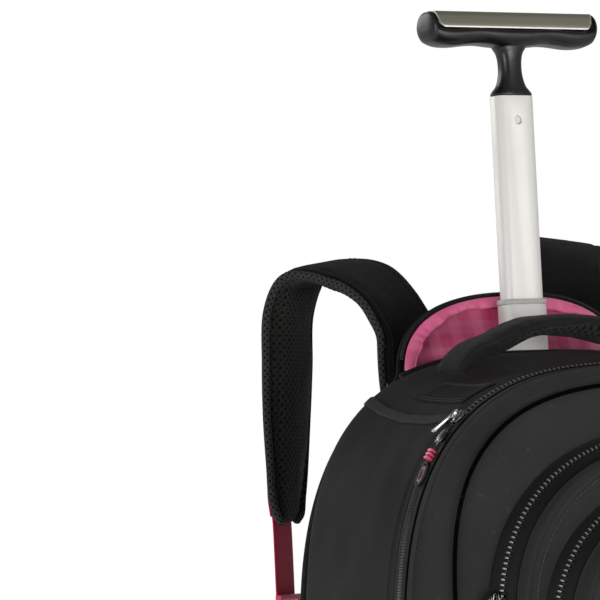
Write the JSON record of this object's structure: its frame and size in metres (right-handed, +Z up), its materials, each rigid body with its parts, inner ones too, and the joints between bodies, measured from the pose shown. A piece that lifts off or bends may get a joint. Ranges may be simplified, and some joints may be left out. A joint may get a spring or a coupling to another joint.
{
  "type": "wheeled backpack",
  "caption": "Wheeled school backpack with a single telescopic mast and T-handle, padded shoulder straps, grab handle and front zip pockets",
  "frame": {"origin": "on the floor, under the middle of the bounding box", "axes": "+X to the right seen from the front pockets, +Y towards the carrying side, +Z up"},
  "size_m": [0.3588, 0.4256, 0.7258],
  "materials": {
    "bag": "dark grey woven coated fabric",
    "padding": "black padded fabric and mesh",
    "patch": "dark woven reinforcement",
    "zip_tape": "black zip tape",
    "lining": "pink checked lining",
    "webbing": "crimson ribbed webbing",
    "band": "black ribbed band",
    "buckle": "satin pink",
    "pull_block": "satin pink, ringed",
    "cord_loop": "dark cord loop",
    "zip_metal": "bright plated metal",
    "mast_metal": "satin anodised",
    "handle_plate": "grey, bright bevel",
    "handle_plastic": "satin black",
    "collar": "satin grey",
    "base_plastic": "fine grained black",
    "tyre": "matt black",
    "hub": "satin grey",
    "axle": "plain"
  },
  "bodies": {
    "base": {"rear_shell": "bag", "front_shell": "bag", "lower_gusset": "bag", "pocket_large": "bag", "pocket_small": "bag", "front_piping": "bag", "rear_gusset": "bag", "back_panel": "padding", "shoulder_strap_left": "padding", "shoulder_strap_right": "padding", "grab_handle": "padding", "handle_patch_left": "patch", "handle_patch_right": "patch", "main_zip": "zip_tape", "pocket_large_zip": "zip_tape", "pocket_small_zip": "zip_tape", "mouth_binding": "zip_tape", "rear_zip": "zip_tape", "back_lining": "lining", "strap_webbing_left": "webbing", "strap_webbing_right": "webbing", "adjuster_webbing_left": "webbing", "adjuster_webbing_right": "webbing", "webbing_tab_left": "webbing", "webbing_tab_right": "webbing", "gusset_band_left": "band", "gusset_band_right": "band", "ladder_lock_left": "buckle", "ladder_lock_right": "buckle", "main_pull_block": "pull_block", "main_pull_loop": "cord_loop", "main_slider_upper": "zip_metal", "main_slider_lower": "zip_metal", "main_pull_bar": "zip_metal", "pocket_large_slider": "zip_metal", "pocket_large_pull": "zip_metal", "pocket_small_slider": "zip_metal", "pocket_small_pull": "zip_metal", "mast_outer_tube": "mast_metal", "mast_collar": "collar", "mast_bracket": "base_plastic", "mast_socket": "base_plastic", "base_tray": "base_plastic", "wheel_housing_left": "base_plastic", "wheel_housing_right": "base_plastic", "front_foot_left": "base_plastic", "front_foot_right": "base_plastic", "wheel_axle_left": "axle", "wheel_axle_right": "axle"},
    "mast_middle": {"mast_middle_tube": "mast_metal"},
    "t_handle": {"mast_inner_tube": "mast_metal", "t_handle_grip": "handle_plastic", "t_handle_plate": "handle_plate"},
    "release_button": {"release_button": "handle_plastic"},
    "wheel_left": {"wheel_tyre_left": "tyre", "wheel_hub_left": "hub"},
    "wheel_right": {"wheel_tyre_right": "tyre", "wheel_hub_right": "hub"}
  },
  "joints": [
    {"name": "mast_slide", "type": "slide", "parent": "base", "child": "mast_middle", "axis": [0, 0.1045, 0.9945], "range_m": [-0.128, 0.12]},
    {"name": "handle_slide", "type": "slide", "parent": "mast_middle", "child": "t_handle", "axis": [0, 0.1045, 0.9945], "range_m": [0, 0.2]},
    {"name": "button_press", "type": "slide", "parent": "t_handle", "child": "release_button", "axis": [0, 0.1045, 0.9945], "range_m": [-0.003, 0], "stiffness_N_per_m": 400, "springref_m": 0.001},
    {"name": "wheel_left_turn", "type": "hinge", "parent": "base", "child": "wheel_left", "pos_m": [-0.122, 0.02453, 0.025], "axis": [1, 0, 0], "continuous": true},
    {"name": "wheel_right_turn", "type": "hinge", "parent": "base", "child": "wheel_right", "pos_m": [0.122, 0.02453, 0.025], "axis": [1, 0, 0], "continuous": true}
  ]
}
